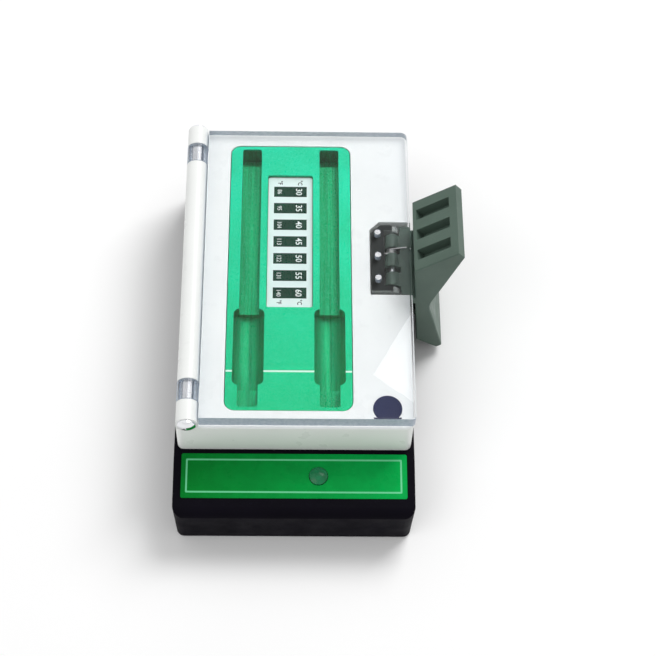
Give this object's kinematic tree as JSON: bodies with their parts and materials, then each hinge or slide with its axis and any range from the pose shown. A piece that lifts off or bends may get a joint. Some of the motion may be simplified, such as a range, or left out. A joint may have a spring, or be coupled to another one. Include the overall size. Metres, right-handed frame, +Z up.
{
  "type": "laboratory incubator",
  "caption": "Small bench incubator: a heated block with strip channels in an insulated housing, under a hinged clear lid with a side latch lever, on a base with a control shelf.",
  "frame": {"origin": "on the table under the middle of the base, 1 mm below the base plate's underside", "axes": "+X to the right (latch side), +Y to the back (inlet side), +Z up"},
  "size_m": [0.115, 0.1705, 0.077],
  "materials": {
    "black_housing": "satin moulded black plastic with a fine texture",
    "white_housing": "smooth white plastic",
    "anodised_block": "green anodised aluminium with a fine sparkle",
    "clear_lid": "polished clear acrylic",
    "latch_plastic": "satin grey-green plastic",
    "bracket_plastic": "satin dark grey plastic",
    "label_green": "printed green film under a clear gloss face",
    "button_lens": "translucent green plastic",
    "bumper_rubber": "dark navy rubber",
    "foot_rubber": "black rubber",
    "steel_pin": "ground steel",
    "polished_cap": "polished chrome",
    "screw_steel": "zinc-plated steel",
    "spring_steel": "bright spring wire",
    "strip_film": "white printed film",
    "strip_window": "dark green liquid-crystal window",
    "line_paint": "white paint in an engraved line",
    "board_laminate": "green solder mask on laminate",
    "component_black": "black moulded component bodies",
    "connector_white": "natural nylon",
    "lead_black": "black lead insulation",
    "lead_red": "red lead insulation",
    "heater_film": "amber heater film",
    "insulation_foam": "pale felted insulation",
    "sensor_steel": "drawn steel sleeve",
    "fuse_body": "pale painted fuse case",
    "inlet_plastic": "black moulded plastic",
    "nut_brass": "nickelled brass"
  },
  "bodies": {
    "base": {"base_housing": "black_housing", "base_plate": "black_housing", "base_screws": "screw_steel", "rubber_feet": "foot_rubber", "label_panel": "label_green", "button_switch": "component_black", "panel_board": "board_laminate", "panel_screws": "screw_steel", "upper_housing": "white_housing", "upper_screws": "screw_steel", "heating_block": "anodised_block", "line_filling": "line_paint", "thermometer_strip": "strip_film", "thermometer_windows": "strip_window", "block_screws": "screw_steel", "flat_heater": "heater_film", "insulation_pad": "insulation_foam", "temperature_sensor": "sensor_steel", "thermal_fuse": "fuse_body", "circuit_board": "board_laminate", "board_screws": "screw_steel", "board_connectors": "connector_white", "board_components": "component_black", "buzzer": "component_black", "dc_inlet": "inlet_plastic", "inlet_nut": "nut_brass", "inlet_leads": "lead_black", "heater_leads": "lead_red", "sensor_leads": "lead_black", "fuse_leads": "lead_red", "panel_leads": "lead_black", "hinge_pin": "steel_pin", "hinge_caps": "polished_cap", "lid_bumper": "bumper_rubber"},
    "lid": {"lid": "clear_lid", "latch_bracket": "bracket_plastic", "latch_screws": "screw_steel", "latch_pin": "steel_pin", "latch_spring": "spring_steel"},
    "latch": {"latch_lever": "latch_plastic"},
    "button": {"start_button": "button_lens", "switch_plunger": "component_black"}
  },
  "joints": [
    {"name": "lid_hinge", "type": "hinge", "parent": "base", "child": "lid", "pos_m": [-0.04215, 0.0136, 0.0481], "axis": [0, -1, 0], "range_deg": [0, 110]},
    {"name": "latch_turn", "type": "hinge", "parent": "lid", "child": "latch", "pos_m": [0.04, 0.021, 0.0409], "axis": [0, 1, 0], "range_deg": [-4, 4.4], "stiffness_Nm_per_rad": 0.1, "springref_deg": -1.83},
    {"name": "button_press", "type": "slide", "parent": "base", "child": "button", "axis": [0, 0.1067, -0.9943], "range_m": [0, 0.0008], "stiffness_N_per_m": 500, "springref_m": -0.0002}
  ]
}
